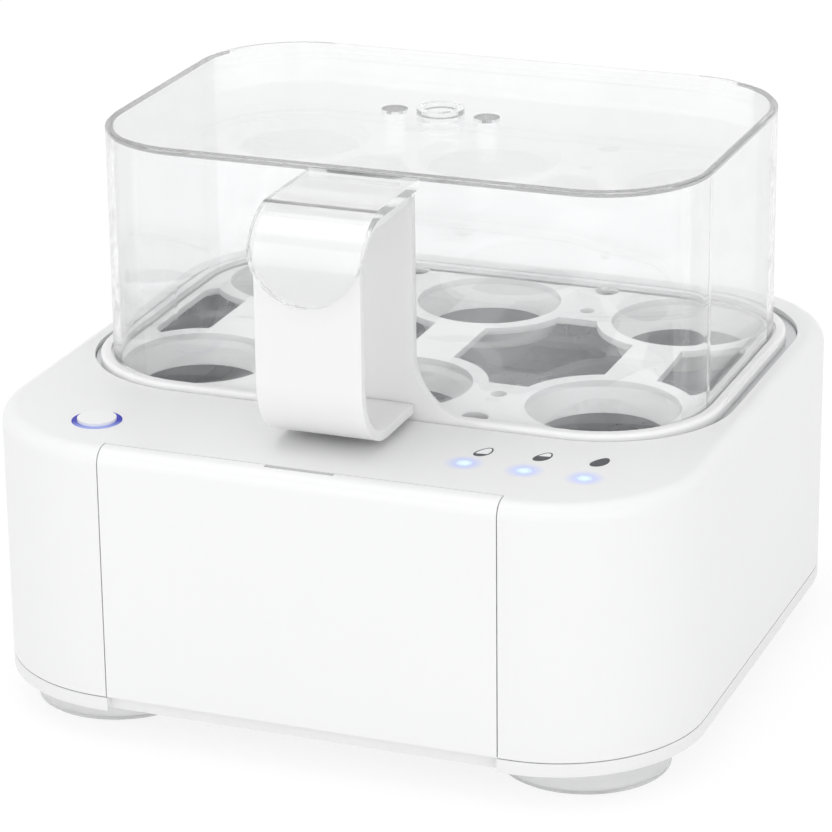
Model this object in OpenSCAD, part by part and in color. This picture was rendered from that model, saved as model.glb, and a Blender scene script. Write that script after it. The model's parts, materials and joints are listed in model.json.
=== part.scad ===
// Six-egg cooker: square-rounded base with heating pan, front accessory drawer,
// lift-out egg rack with handle, and clear lid. Millimetres, +Z up, front towards -Y,
// origin on the table under the middle of the base.

/* [Base] */
// Width of the base
base_w = 184; // [180:1:196]
// Depth of the base
base_d = 175; // [174:1:188]
// Height of the deck above the table
deck_z = 78; // [77:1:86]
// Radius of the upright corners of the base
corner_r = 38; // [30:1:42]
// Radius of the rounding around the deck
edge_r = 4; // [2.5:0.5:5]
// Wall of the base housing
wall = 2.4; // [2:0.2:3]
// Thickness of the deck
deck_t = 3; // [2.6:0.2:4]
// Height of the underside above the table
under_z = 8.5; // [7.5:0.5:9.5]
// Height of the band that the bottom cover shows around the base
band_h = 3.5; // [3:0.5:4.5]
// Thickness of the bottom cover
cover_t = 2.5; // [2:0.25:3]

/* [Feet] */
// Radius of a suction foot at the table
foot_r = 21.5; // [16:0.5:22]
// Radius of a suction foot's neck
foot_neck_r = 7.5; // [6:0.5:9]
// Distance of the feet from the sides
foot_side = 29; // [27:1:34]
// Distance of the feet from the front and back
foot_end = 32.5; // [30.5:1:37.5]

/* [Deck opening and pan] */
// Width of the deck beside its opening
side_deck = 5.9; // [5.4:0.1:6.2]
// Depth of the deck in front of its opening
front_deck = 44.9; // [44.5:0.1:46]
// Depth of the deck behind its opening
rear_deck = 8.5; // [8:0.1:9]
// Corner radius of the opening
opening_r = 34; // [32.5:0.5:36]
// Width of the ledge that carries the pan
ledge_w = 2; // [1.8:0.1:2.2]
// Thickness of the pan's steel
pan_t = 0.6; // [0.5:0.1:0.7]
// Width of the pan's flange at each side
pan_side = 6.6; // [6.1:0.1:10]
// Width of the pan's flange at the front
pan_front = 3; // [2.9:0.1:4]
// Width of the pan's flange at the back
pan_rear = 6.2; // [6.1:0.1:7]
// Corner radius of the heating pan
pan_r = 27; // [26.5:0.5:30]
// Height of the heating pan
pan_h = 26; // [22:1:28]
// Step from the deck down to the pan's flange
pan_step = 1.2; // [0.8:0.1:1.4]

/* [Egg rack] */
// Gap between the rack's rim and the opening at each side
rack_side = 2.4; // [2.1:0.1:3]
// Gap between the rack's rim and the opening at the front
rack_fore = 0.4; // [0.3:0.1:0.9]
// Gap between the rack's rim and the opening at the back
rack_rear = 4.8; // [4.2:0.1:5.2]
// Corner radius of the rack's rim
rack_r = 31.6; // [30:0.2:33]
// Thickness of the rack's rim
rim_t = 2.7; // [2.3:0.1:3]
// Height of the rim above the deck
rim_rise = 1.6; // [1:0.1:3]
// Thickness of the rack's plate
plate_t = 1.8; // [1.4:0.1:2.2]
// Radius of an egg seat
seat_r = 19.4; // [18:0.2:20]
// Height of the collar under an egg seat
seat_h = 6; // [3:0.5:7]
// Wall of an egg seat
seat_t = 1; // [0.8:0.1:1]
// Distance from the rack's side to an egg seat
seat_side = 9.3; // [9.3:0.1:11.5]
// Distance from the rack's front or back to an egg seat
seat_end = 4.5; // [4.4:0.1:6.5]

/* [Handle] */
// Width of the rack's handle
handle_w = 27.4; // [26:0.2:34]
// Distance the handle reaches in front of the rim
handle_reach = 34.1; // [28:0.1:36]
// Radius of the handle's bend at the bottom
handle_bend_r = 16; // [10:0.5:18]
// Gap between the handle and the deck
handle_gap = 2; // [1:0.2:3]
// Wall of the handle
handle_t = 2.4; // [2:0.2:3]
// Distance from the handle's side to its mounting tabs
tab_side = 4; // [3:0.5:6]
// Height of the handle's top face over the back plate's top edge
plate_dip = 1.2; // [0.8:0.1:2]

/* [Lid] */
// Height of the clear lid
lid_h = 62; // [56:1:72]
// Wall of the clear lid
lid_wall = 2; // [1.6:0.2:2.6]
// Thickness of the lid's top
lid_top_t = 2.2; // [1.8:0.2:3]
// Gap between the lid and the rack's rim
lid_gap = 0.7; // [0.4:0.1:1]
// Rounding around the lid's top
lid_edge_r = 0.8; // [0.6:0.1:1.6]
// Radius of a steam hole
steam_r = 3.4; // [2.5:0.1:4]
// Distance of a steam hole from the middle of the lid
steam_x = 12.6; // [11:0.2:16]
// Width of the lid's tongue
tongue_w = 29.2; // [26:0.2:34]
// Thickness of the lid's tongue
tongue_t = 2.4; // [2:0.1:3]
// Step from the lid's top down to the tongue
tongue_step = 1.1; // [0.9:0.1:2]
// Outer radius of the tongue's bend
tongue_bend_r = 14; // [10:0.5:16]
// Distance from the lid's top down to the end of the tongue
tongue_drop = 23.4; // [22:0.1:30]

/* [Drawer] */
// Flat width of the base's front left beside the drawer front
drawer_side = 2.4; // [1.4:0.1:4]
// Thickness of the drawer front
front_t = 2.6; // [2.2:0.2:3]
// Depth of the lip on top of the drawer front
lip_d = 5; // [4.6:0.2:6]
// Width of the fingernail notch in the lip
notch_w = 18; // [14:1:24]
// Distance the drawer front reaches past its tray
tray_side = 4.6; // [4.6:0.1:8]
// Gap between the drawer tray and the strap under the pan
tray_clear = 1.5; // [1.5:0.5:12]
// Gap between the drawer tray and the heating element above it
tray_head = 0.8; // [0.6:0.1:6]
// Wall of the drawer tray
tray_t = 1.8; // [1.4:0.1:2.2]
// Gap between the drawer's ribs and their rails
rail_gap = 0.3; // [0.2:0.05:0.5]
// Gap between the measuring cup and the tray's side
cup_gap = 1.2; // [1:0.1:3]
// Width of the tray kept for the egg piercer
piercer_bay = 38.4; // [37:0.2:46]
// Height of the measuring cup
cup_h = 24; // [16:1:25]

/* [Controls] */
// Distance of the power button from the left side
button_side = 31.3; // [29:0.1:34]
// Distance of the power button from the front
button_end = 19.3; // [18.5:0.1:21.5]
// Radius of the power button
button_r = 4.9; // [4:0.1:5.5]
// Width of the light ring around the button
ring_w = 1.35; // [1.1:0.05:1.6]
// Height of the button above the deck, which is also its travel
button_rise = 0.8; // [0.5:0.1:1]
// Running gap around the button
button_gap = 0.06; // [0.03:0.01:0.1]
// Distance of the middle indicator from the right side
lamp_side = 41.2; // [39:0.1:44]
// Distance of the indicators from the front
lamp_end = 22.1; // [20.5:0.1:24.5]
// Distance between indicators
lamp_pitch = 15.2; // [12:0.2:16]
// Radius of an indicator lens
lamp_r = 2; // [1.5:0.1:2.5]
// Height of the control board under the deck
board_drop = 13; // [12.5:0.5:15]

/* [Inside] */
// Thickness of the circuit boards
pcb_t = 1.6; // [1:0.1:2]
// Radius of the heat spreader
spreader_r = 38; // [36:1:40]
// Thickness of the heat spreader
spreader_t = 4; // [3:0.5:5]
// Radius of the heating element's loop
element_r = 32; // [31:0.5:33]
// Width and height of the heating element
element_t = 6; // [5:0.5:6]
// Height of the power board above the bottom cover
board_lift = 9; // [8:0.5:10]
// Radius of the cord's hole in the rear gland
cord_r = 3.6; // [3:0.1:4]
// Distance of the rear gland from the right side
gland_side = 48; // [46:1:50]
// Height of the rear gland above the table
gland_z = 26; // [24:1:28]

/* [Hidden] */
$fn = 96;
eps = 0.01;
seat = 0.05;
seam = 0.3;
band_back = 2.2;
cover_top = under_z + cover_t;
shell_z = under_z + band_h + seam;
deck_low = deck_z - deck_t;
front_y = -base_d / 2;
opening_w = base_w - 2 * side_deck;
opening_d = base_d - front_deck - rear_deck;
opening_y = (front_deck - rear_deck) / 2;
rack_w = opening_w - 2 * rack_side;
rack_d = opening_d - rack_fore - rack_rear;
rack_y = opening_y + (rack_fore - rack_rear) / 2;
seat_pitch_x = rack_w / 2 - seat_side - seat_r;
seat_pitch_y = rack_d - 2 * (seat_end + seat_r);
flange_z = deck_z - pan_step;
gasket_t = 0.5;
ledge_z = flange_z - pan_t - gasket_t;
pan_w = opening_w - 2 * pan_side;
pan_d = opening_d - pan_front - pan_rear;
pan_y = opening_y + (pan_front - pan_rear) / 2;
pan_low = flange_z - pan_h;
spreader_z = pan_low - spreader_t;
element_z = spreader_z - element_t;
stud_x = pan_w / 2 - 17.5;
stud_r = 2;
nut_h = 3;
strap_ring_r = 24;
well_t = 1.5;
plate_z = flange_z + plate_t;
rim_top = deck_z + rim_rise;
rack_front = rack_y - rack_d / 2;
handle_front = rack_front - handle_reach;
handle_low = deck_z + handle_gap;
flare_r = 16;
lid_w = rack_w - 2 * (rim_t + lid_gap);
lid_d = rack_d - 2 * (rim_t + lid_gap);
lid_r = rack_r - rim_t - lid_gap;
lid_top = plate_z + lid_h;
lid_front = rack_y - lid_d / 2;
tongue_top = lid_top - tongue_step;
handle_top = tongue_top - tongue_t - 0.2;
handle_edge_r = tongue_bend_r - tongue_t - 0.2;
tongue_front = handle_front - 0.2 - tongue_t;
drawer_w = base_w - 2 * (corner_r + drawer_side);
tray_w = drawer_w - 2 * tray_side;
tray_d = pan_y - strap_ring_r - tray_clear - front_y - front_t;
tray_low = cover_top + 2.5;
tray_top = element_z - tray_head;
tray_back = front_y + front_t + tray_d;
cup_r = (tray_w - 2 * tray_t - piercer_bay) / 2;
cup_x = cup_gap + cup_r + tray_t - tray_w / 2;
cup_y = front_y + front_t + tray_d / 2;
piercer_x = tray_w / 2 - tray_t - 15.2;
piercer_foot_r = 9;
rib_z = tray_low + (tray_top - tray_low) * 0.28;
rib_h = 2;
rib_w = 2.6;
rail_t = 2.8;
rail_x = tray_w / 2 + rail_gap;
bulkhead_z = tray_top + 2;
lip_h = 5;
board_z = deck_z - board_drop - pcb_t;
ring_r = button_r + button_gap + ring_w;
spring_gap = 0.1;
board_x0 = -base_w / 2 + 14;
board_x1 = base_w / 2 - 20;
board_y0 = front_y + 13.5;
board_y1 = front_y + front_deck - 6.4;
button_x = base_w / 2 - button_side;
button_y = base_d / 2 - button_end;
lamp_x = base_w / 2 - lamp_side;
lamp_y = base_d / 2 - lamp_end;
gland_x = base_w / 2 - gland_side;
switch_h = 3.5;
plunger_h = 1.2;
bracket_z = element_z - 2.5;
bracket_t = 1.5;
bracket_x = base_w / 2 - wall - 4;
power_z = cover_top + board_lift;
power_w = 70;
power_d = 44;
power_x = 52 - base_w / 2;
power_y = base_d / 2 - 37.5;
post_r = 3.2;
cover_screws = [for (s = [-1, 1]) [s * (base_w / 2 - wall - 3.6), -20],
                for (s = [-1, 1]) [s * (gland_x - 16), base_d / 2 - wall - 3.6]];
board_screws = [for (x = [board_x0 + 4, lamp_x - lamp_pitch / 2], y = [board_y0 + 4, board_y1 - 4]) [x, y]];
power_screws = [for (s = [-1, 1], t = [-1, 1])
                [power_x + s * (power_w / 2 - 4), power_y + t * (power_d / 2 - 4)]];
feet = [for (t = [-1, 1], s = [-1, 1]) [s * (base_w / 2 - foot_side), t * (base_d / 2 - foot_end)]];
lamps = [for (i = [-1, 0, 1]) lamp_x + i * lamp_pitch];
seats = [for (t = [-1, 1], i = [-1, 0, 1]) [i * seat_pitch_x, rack_y + t * seat_pitch_y / 2]];

// Outline with round corners, centred
module rounded(w, d, r) {
    square([w - 2 * r, d], center = true);
    square([w, d - 2 * r], center = true);
    for (x = [-1, 1], y = [-1, 1])
        translate([x * (w / 2 - r), y * (d / 2 - r)]) circle(r);
}

// Upright block of a rounded outline
module slab(w, d, r, h) {
    linear_extrude(h) rounded(w, d, r);
}

// Slab whose top edge is rounded by e
module soft_slab(w, d, r, h, e) {
    slab(w, d, r, h - e);
    slab(w - 2 * e, d - 2 * e, r - e, h);
    for (x = [-1, 1], y = [-1, 1])
        translate([x * (w / 2 - r), y * (d / 2 - r), h - e])
            rotate_extrude() translate([r - e, 0]) circle(e);
    for (y = [-1, 1])
        translate([0, y * (d / 2 - e), h - e]) rotate([0, 90, 0]) cylinder(h = w - 2 * r, r = e, center = true);
    for (x = [-1, 1])
        translate([x * (w / 2 - e), 0, h - e]) rotate([90, 0, 0]) cylinder(h = d - 2 * r, r = e, center = true);
}

// Tube between two heights
module pipe(outer, inner, z0, z1) {
    translate([0, 0, z0]) difference() {
        cylinder(h = z1 - z0, r = outer);
        translate([0, 0, -1]) cylinder(h = z1 - z0 + 2, r = inner);
    }
}

// Screw standing on its head, tip up, with the head's seat at the origin
module screw(shank_r, shank_h, head_r, head_h) {
    cylinder(h = shank_h, r = shank_r);
    translate([0, 0, -head_h]) cylinder(h = head_h, r = head_r);
}

// Box between two corners
module block(low, high) {
    translate(low) cube(high - low);
}

module base_housing() {
    color("whitesmoke") difference() {
        union() {
            difference() {
                translate([0, 0, shell_z])
                    soft_slab(base_w, base_d, corner_r, deck_z - shell_z, edge_r);
                translate([0, 0, shell_z - 1])
                    slab(base_w - 2 * wall, base_d - 2 * wall, corner_r - wall, deck_low - shell_z + 1);
                // Place of the drawer front and its lip
                block([-drawer_w / 2 - seam, front_y - 1, shell_z - 1],
                      [drawer_w / 2 + seam, front_y + front_t + seam, deck_z + 1]);
                block([-drawer_w / 2 - seam, front_y - 1, deck_z - lip_h - seam],
                      [drawer_w / 2 + seam, front_y + lip_d + seam, deck_z + 1]);
            }
            drawer_frame();
            translate([0, opening_y, deck_low - well_t])
                slab(opening_w + 2, opening_d + 2, opening_r + 1, well_t + eps);
            for (p = cover_screws)
                translate([p[0], p[1], cover_top]) cylinder(h = 20, r = 4);
            for (p = board_screws)
                translate([p[0], p[1], board_z + pcb_t]) cylinder(h = deck_low - board_z, r = 2.6);
            for (s = [-1, 1])
                translate([s * bracket_x, pan_y, bracket_z + bracket_t])
                    cylinder(h = deck_low - bracket_z, r = 4.4);
        }
        translate([0, opening_y, ledge_z]) slab(opening_w, opening_d, opening_r, deck_t + 5);
        translate([0, opening_y, deck_low - well_t - 1])
            slab(opening_w - 2 * ledge_w, opening_d - 2 * ledge_w, opening_r - ledge_w, deck_t + 5);
        translate([-button_x, -button_y, deck_low - 1]) cylinder(h = deck_t + 2, r = ring_r + seat);
        for (x = lamps)
            translate([x, -lamp_y, deck_low - 1]) cylinder(h = deck_t + 2, r = lamp_r + seat);
        for (p = cover_screws)
            translate([p[0], p[1], cover_top - 1]) cylinder(h = 12, r = 1.5);
        for (p = board_screws)
            translate([p[0], p[1], board_z]) cylinder(h = 7, r = 1.1);
        for (s = [-1, 1])
            translate([s * bracket_x, pan_y, bracket_z]) cylinder(h = 10, r = 1.5);
        translate([gland_x, base_d / 2, gland_z]) rotate([90, 0, 0]) {
            translate([0, 0, -1]) cylinder(h = 2.2, r = 8.05);
            cylinder(h = wall + 1, r = 5.55);
        }
    }
}

// Jambs beside the drawer, bulkhead above its tray and step under its lip
module drawer_frame() {
    jamb_x = drawer_w / 2 + seam;
    panel_y = front_y + front_t + seam;
    lip_y = front_y + lip_d + seam;
    step_z = deck_z - lip_h - seam;
    for (s = [-1, 1])
        translate([s * (jamb_x + 1.2), 0, 0])
            block([-1.2, front_y + wall - 0.4, shell_z], [1.2, lip_y + 2, deck_low + eps]);
    block([-jamb_x - 1, panel_y, bulkhead_z], [jamb_x + 1, panel_y + 2.2, step_z]);
    block([-jamb_x - 1, panel_y, step_z - 2], [jamb_x + 1, lip_y + 2.2, step_z]);
    block([-jamb_x - 1, lip_y, step_z - 2], [jamb_x + 1, lip_y + 2.2, deck_low + eps]);
}

module bottom_cover() {
    color("white") difference() {
        union() {
            translate([0, 0, under_z]) slab(base_w, base_d, corner_r, cover_t);
            translate([0, 0, under_z]) difference() {
                slab(base_w, base_d, corner_r, band_h);
                translate([0, 0, -1]) slab(base_w - 2 * wall, base_d - 2 * wall, corner_r - wall, band_h + 2);
            }
            translate([0, 0, under_z]) difference() {
                slab(base_w - 2 * wall - 0.6, base_d - 2 * wall - 0.6, corner_r - wall - 0.3, band_h + 3);
                translate([0, 0, -1]) slab(base_w - 2 * wall - 3.8, base_d - 2 * wall - 3.8, corner_r - wall - 1.9, band_h + 5);
                block([-drawer_w / 2 - 4, front_y, cover_t], [drawer_w / 2 + 4, front_y + 8, band_h + 5]);
            }
            block([-drawer_w / 2 - 1, front_y + 1, under_z], [drawer_w / 2 + 1, front_y + band_back + 2, under_z + band_h]);
            for (p = power_screws)
                translate([p[0], p[1], cover_top - eps]) cylinder(h = board_lift + eps, r = post_r);
        }
        // Band set back under the drawer front
        block([-drawer_w / 2, front_y - 1, under_z - 1], [drawer_w / 2, front_y + band_back, under_z + band_h + 1]);
        for (p = cover_screws) translate([p[0], p[1], under_z - 1]) {
            cylinder(h = cover_t + 7, r = 1.7);
            cylinder(h = 1 + 1.3, r = 3.2);
        }
        for (p = cover_screws)
            translate([p[0], p[1], cover_top]) cylinder(h = 10, r = 4.2);
        for (p = power_screws)
            translate([p[0], p[1], power_z - 7]) cylinder(h = 8, r = 1.1);
        for (p = feet)
            translate([p[0], p[1], under_z - 1]) cylinder(h = cover_t + 2, r = 3.3);
        for (i = [-3:3])
            block([i * 6 - 1.2, base_d / 2 - 51.5, under_z - 1], [i * 6 + 1.2, base_d / 2 - 27.5, cover_top + 1]);
    }
}

// Suction foot: cup, neck and barbed stem in one moulding
module foot(place) {
    color("gainsboro") translate([place[0], place[1], 0]) rotate_extrude()
        polygon([[0, 2.4], [6, 2.2], [foot_r - 2, 0], [foot_r, 0], [foot_r, 0.9], [foot_neck_r + 2, 3.6],
                 [foot_neck_r, 4.4], [foot_neck_r, under_z], [3.2, under_z], [3.2, cover_top + 0.1],
                 [4.3, cover_top + 0.1], [3, cover_top + 2], [0, cover_top + 2]]);
}

module cover_screws() {
    color("silver") for (p = cover_screws)
        translate([p[0], p[1], under_z + 1.3]) screw(1.5, cover_t - 1.3 + 8, 3, 1.2);
}

// Grommet in the rear wall: outer flange, neck, inner flange
module cord_gland() {
    color("dimgray") translate([gland_x, base_d / 2, gland_z]) rotate([90, 0, 0]) rotate_extrude()
        polygon([[cord_r, 0], [8, 0], [8, 1.2], [5.5, 1.2], [5.5, wall], [7.5, wall],
                 [7.5, wall + 1.2], [cord_r, wall + 1.2]]);
}

module heating_pan() {
    color("silver") {
        difference() {
            union() {
                translate([0, opening_y, flange_z - pan_t])
                    slab(opening_w - 0.6, opening_d - 0.6, opening_r - 0.3, pan_t);
                translate([0, pan_y, pan_low]) slab(pan_w + 2 * pan_t, pan_d + 2 * pan_t, pan_r + pan_t, pan_h);
            }
            translate([0, pan_y, pan_low + pan_t]) slab(pan_w, pan_d, pan_r, pan_h);
        }
    }
}

module pan_gasket() {
    color("dimgray") translate([0, opening_y, ledge_z]) difference() {
        slab(opening_w - 0.8, opening_d - 0.8, opening_r - 0.4, gasket_t);
        translate([0, 0, -1])
            slab(opening_w - 2 * ledge_w, opening_d - 2 * ledge_w, opening_r - ledge_w, gasket_t + 2);
    }
}

module pan_studs() {
    color("silver") for (s = [-1, 1])
        translate([s * stud_x, pan_y, bracket_z - 5]) cylinder(h = pan_low - bracket_z + 5, r = stud_r);
}

// Strap under the pan, opened to a ring around the thermostat
module pan_bracket() {
    color("lightgray") difference() {
        union() {
            block([-bracket_x - 4, pan_y - 8, bracket_z], [bracket_x + 4, pan_y + 8, bracket_z + bracket_t]);
            translate([0, pan_y, bracket_z]) cylinder(h = bracket_t, r = strap_ring_r);
        }
        translate([0, pan_y, bracket_z - 1]) cylinder(h = bracket_t + 2, r = strap_ring_r - 4);
        for (s = [-1, 1]) {
            translate([s * stud_x, pan_y, bracket_z - 1]) cylinder(h = bracket_t + 2, r = stud_r + 0.2);
            translate([s * bracket_x, pan_y, bracket_z - 1]) cylinder(h = bracket_t + 2, r = 1.7);
        }
    }
}

module pan_nuts() {
    color("silver") for (s = [-1, 1]) translate([s * stud_x, pan_y, bracket_z - nut_h]) difference() {
        cylinder(h = nut_h, r = 2 * stud_r, $fn = 6);
        translate([0, 0, -1]) cylinder(h = nut_h + 2, r = stud_r + seat);
    }
}

module bracket_screws() {
    color("silver") for (s = [-1, 1])
        translate([s * bracket_x, pan_y, bracket_z]) screw(1.45, bracket_t + 7, 3, 1.6);
}

module heat_spreader() {
    color("silver") translate([0, pan_y, spreader_z]) difference() {
        cylinder(h = spreader_t, r = spreader_r);
        for (t = [-1, 1]) translate([0, t * 15, -1]) cylinder(h = 4, r = 1.1);
    }
}

// Flattened tubular element, open towards the rear
module heating_element() {
    color("gray") translate([0, pan_y, element_z]) rotate([0, 0, 110]) rotate_extrude(angle = 320)
        translate([element_r - element_t / 2, 0]) square([element_t, element_t]);
}

module element_terminals() {
    color("white") for (a = [110, 70]) translate([0, pan_y, element_z]) rotate([0, 0, a])
        translate([element_r, 0, -5]) cylinder(h = 5, r = 2);
}

module thermostat() {
    color("tan") translate([0, pan_y, spreader_z - 9]) {
        cylinder(h = 9, r = 8);
        block([-9.5, -3, 0], [9.5, 3, 2]);
    }
}

module thermostat_clip() {
    color("silver") difference() {
        union() {
            block([-5, pan_y - 18, spreader_z - 10], [5, pan_y + 18, spreader_z - 9]);
            for (t = [-1, 1]) translate([0, pan_y + t * 15, 0])
                block([-5, -3, spreader_z - 10], [5, 3, spreader_z]);
        }
        for (t = [-1, 1])
            translate([0, pan_y + t * 15, spreader_z - 11]) cylinder(h = 13, r = 1.6);
    }
}

module clip_screws() {
    color("silver") for (t = [-1, 1])
        translate([0, pan_y + t * 15, spreader_z - 10]) screw(1.05, 12.5, 2.4, 1.4);
}

module thermal_fuse() {
    color("goldenrod") translate([spreader_r + 8, pan_y + 24, pan_low - 2.2]) rotate([90, 0, 0])
        cylinder(h = 13, r = 2.2, center = true);
}

module temperature_sensor() {
    color("black") translate([-spreader_r - 10, pan_y + 20, pan_low - 7]) cylinder(h = 7, r = 3);
}

module control_board() {
    color("darkgreen") difference() {
        block([board_x0, board_y0, board_z], [board_x1, board_y1, board_z + pcb_t]);
        for (p = board_screws) translate([p[0], p[1], board_z - 1]) cylinder(h = pcb_t + 2, r = 1.3);
    }
}

module control_board_screws() {
    color("silver") for (p = board_screws)
        translate([p[0], p[1], board_z]) screw(1.05, pcb_t + 5, 2.2, 1.3);
}

module tact_switch() {
    color("dimgray") translate([-button_x, -button_y, 0]) difference() {
        block([-3, -3, board_z + pcb_t], [3, 3, board_z + pcb_t + switch_h]);
        translate([0, 0, board_z + pcb_t + 1.5]) cylinder(h = switch_h, r = 1.75);
    }
}

module switch_plunger() {
    color("black") translate([-button_x, -button_y, board_z + pcb_t + 1.5 + button_rise + spring_gap])
        cylinder(h = switch_h - 1.5 + plunger_h, r = 1.7);
}

// Button with a stem on the switch and a flange under the light ring
module power_button() {
    stem_z = board_z + pcb_t + switch_h + button_rise + plunger_h + 2 * spring_gap;
    flange_top = deck_low - 1.3;
    color("white") translate([-button_x, -button_y, 0]) {
        translate([0, 0, flange_top - 1.1]) cylinder(h = deck_z + button_rise - flange_top + 1.1, r = button_r);
        translate([0, 0, flange_top - 1.1]) cylinder(h = 1, r = ring_r);
        translate([0, 0, stem_z]) cylinder(h = flange_top - stem_z, r = 1.6);
    }
}

module light_ring() {
    color("royalblue") translate([-button_x, -button_y, 0]) {
        pipe(ring_r, button_r + button_gap, deck_low - 1.2, deck_z + 0.1);
        pipe(ring_r + 1.6, button_r + button_gap, deck_low - 1.2, deck_low);
    }
}

module status_leds() {
    color("lightyellow") {
        for (x = lamps)
            block([x - 1.4, -lamp_y - 1, board_z + pcb_t], [x + 1.4, -lamp_y + 1, board_z + pcb_t + 1]);
        for (s = [-1, 1])
            translate([-button_x + s * 5.6, -button_y, board_z + pcb_t]) block([-1.2, -1, 0], [1.2, 1, 1]);
    }
}

// Light pipe from an indicator's diode to the deck
module lens(x) {
    color("aliceblue") translate([x, -lamp_y, 0]) {
        translate([0, 0, board_z + pcb_t + 1]) cylinder(h = deck_z - board_z - pcb_t - 1, r = lamp_r);
        translate([0, 0, deck_low - 1]) cylinder(h = 1, r = lamp_r + 1.2);
    }
}

module power_board() {
    color("darkgreen") difference() {
        block([power_x - power_w / 2, power_y - power_d / 2, power_z],
              [power_x + power_w / 2, power_y + power_d / 2, power_z + pcb_t]);
        for (p = power_screws) translate([p[0], p[1], power_z - 1]) cylinder(h = pcb_t + 2, r = 1.3);
    }
}

module power_board_screws() {
    color("silver") for (p = power_screws)
        translate([p[0], p[1], power_z + pcb_t]) mirror([0, 0, 1]) screw(1.05, pcb_t + 5, 2.4, 1.4);
}

// Part of a size standing on the power board
module on_power_board(x, y, w, d, h) {
    translate([power_x + x, power_y + y, power_z + pcb_t]) block([-w / 2, -d / 2, 0], [w / 2, d / 2, h]);
}

module relay() {
    color("royalblue") on_power_board(-20, -8, 19, 15, 12);
}

module filter_capacitor() {
    color("gold") on_power_board(14, 10, 26, 9, 12);
}

module supply_capacitor() {
    color("black") translate([power_x + 6, power_y - 10, power_z + pcb_t]) cylinder(h = 13, r = 5);
}

module buzzer() {
    color("black") translate([power_x - 22, power_y + 11, power_z + pcb_t]) cylinder(h = 7, r = 6);
}

module terminal_block() {
    color("seagreen") translate([gland_x - 9, base_d / 2 - 21.5, cover_top]) difference() {
        block([-11, -6, 0], [11, 6, 14]);
        for (i = [-1, 0, 1]) translate([i * 6.6, 0, 8]) cylinder(h = 7, r = 2);
    }
}

module drawer_rails() {
    color("white") for (s = [-1, 1]) scale([s, 1, 1]) difference() {
        block([rail_x, front_y + lip_d + seam + 2.3, cover_top], [rail_x + rib_w + rail_t, tray_back, rib_z + 6]);
        block([rail_x - 1, front_y, rib_z - rail_gap],
              [rail_x + rib_w, tray_back - 2, rib_z + rib_h + rail_gap]);
    }
}

// Flat front whose lip carries on the deck's rounding, with a nail notch behind the lip
module drawer_front() {
    color("white") difference() {
        rotate([90, 0, 90]) translate([0, 0, -drawer_w / 2]) linear_extrude(drawer_w) {
            translate([front_y, shell_z]) square([front_t, deck_z - edge_r - shell_z]);
            translate([front_y, deck_z - lip_h]) square([lip_d, lip_h - edge_r]);
            translate([front_y + edge_r, deck_z - lip_h]) square([lip_d - edge_r, lip_h]);
            intersection() {
                translate([front_y + edge_r, deck_z - edge_r]) circle(edge_r);
                translate([front_y, deck_z - edge_r]) square(2 * edge_r);
            }
        }
        block([-notch_w / 2, front_y + lip_d - 1.4, deck_z - lip_h - 4], [notch_w / 2, front_y + lip_d + 1, deck_z + 1]);
        block([-drawer_w, front_y + lip_d, 0], [drawer_w, 0, deck_z + 1]);
    }
}

module drawer_tray() {
    tray_front = front_y + front_t;
    color("white") difference() {
        union() {
            block([-tray_w / 2, tray_front, tray_low], [tray_w / 2, tray_back, tray_top]);
            for (s = [-1, 1]) scale([s, 1, 1])
                block([tray_w / 2 - eps, tray_front + 8, rib_z],
                      [tray_w / 2 + rib_w - 0.05, tray_back - 3, rib_z + rib_h]);
        }
        block([-tray_w / 2 + tray_t, tray_front + tray_t, tray_low + tray_t],
              [tray_w / 2 - tray_t, tray_back - tray_t, tray_top + 1]);
    }
    color("white") translate([piercer_x, cup_y, 0])
        pipe(piercer_foot_r + 1.4, piercer_foot_r + 0.1, tray_low + tray_t - eps, tray_low + tray_t + 5);
}

module measuring_cup() {
    color("lightcyan") translate([cup_x, cup_y, tray_low + tray_t]) difference() {
        cylinder(h = cup_h, r1 = cup_r * 0.8, r2 = cup_r);
        translate([0, 0, 1.5]) cylinder(h = cup_h, r1 = cup_r * 0.8 - 1.4, r2 = cup_r - 1.2);
    }
}

// Round foot and dome that hold the needle
module piercer_body() {
    color("white") translate([piercer_x, cup_y, tray_low + tray_t]) difference() {
        union() {
            cylinder(h = 6, r = piercer_foot_r);
            cylinder(h = 11, r1 = 7, r2 = 4);
        }
        translate([0, 0, 4]) cylinder(h = 8, r = 0.65);
    }
}

module piercer_needle() {
    color("silver") translate([piercer_x, cup_y, tray_low + tray_t + 4]) {
        cylinder(h = 8, r = 0.6);
        translate([0, 0, 8]) cylinder(h = 2.5, r1 = 0.6, r2 = 0.05);
    }
}

// Plate with seats, rim, and the upright back plate that flares into the rim
module egg_rack() {
    color("white") {
        difference() {
            union() {
                translate([0, rack_y, flange_z]) slab(rack_w, rack_d, rack_r, plate_t);
                translate([0, rack_y, flange_z]) soft_slab(rack_w, rack_d, rack_r, rim_top - flange_z, 1);
                for (p = seats)
                    translate([p[0], p[1], flange_z - seat_h]) seat_cone(seat_t);
            }
            translate([0, rack_y, plate_z])
                slab(rack_w - 2 * rim_t, rack_d - 2 * rim_t, rack_r - rim_t, rim_rise + 5);
            rack_cuts();
        }
        back_plate();
    }
}

// Funnel that an egg rests in, grown by its wall
module seat_cone(grow) {
    translate([0, 0, grow > 0 ? 0 : -eps]) cylinder(h = seat_h + 2 * eps, r1 = seat_r - seat_h / 2 + grow, r2 = seat_r + grow);
    if (grow == 0) translate([0, 0, seat_h]) cylinder(h = plate_t + 1, r = seat_r);
}

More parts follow.
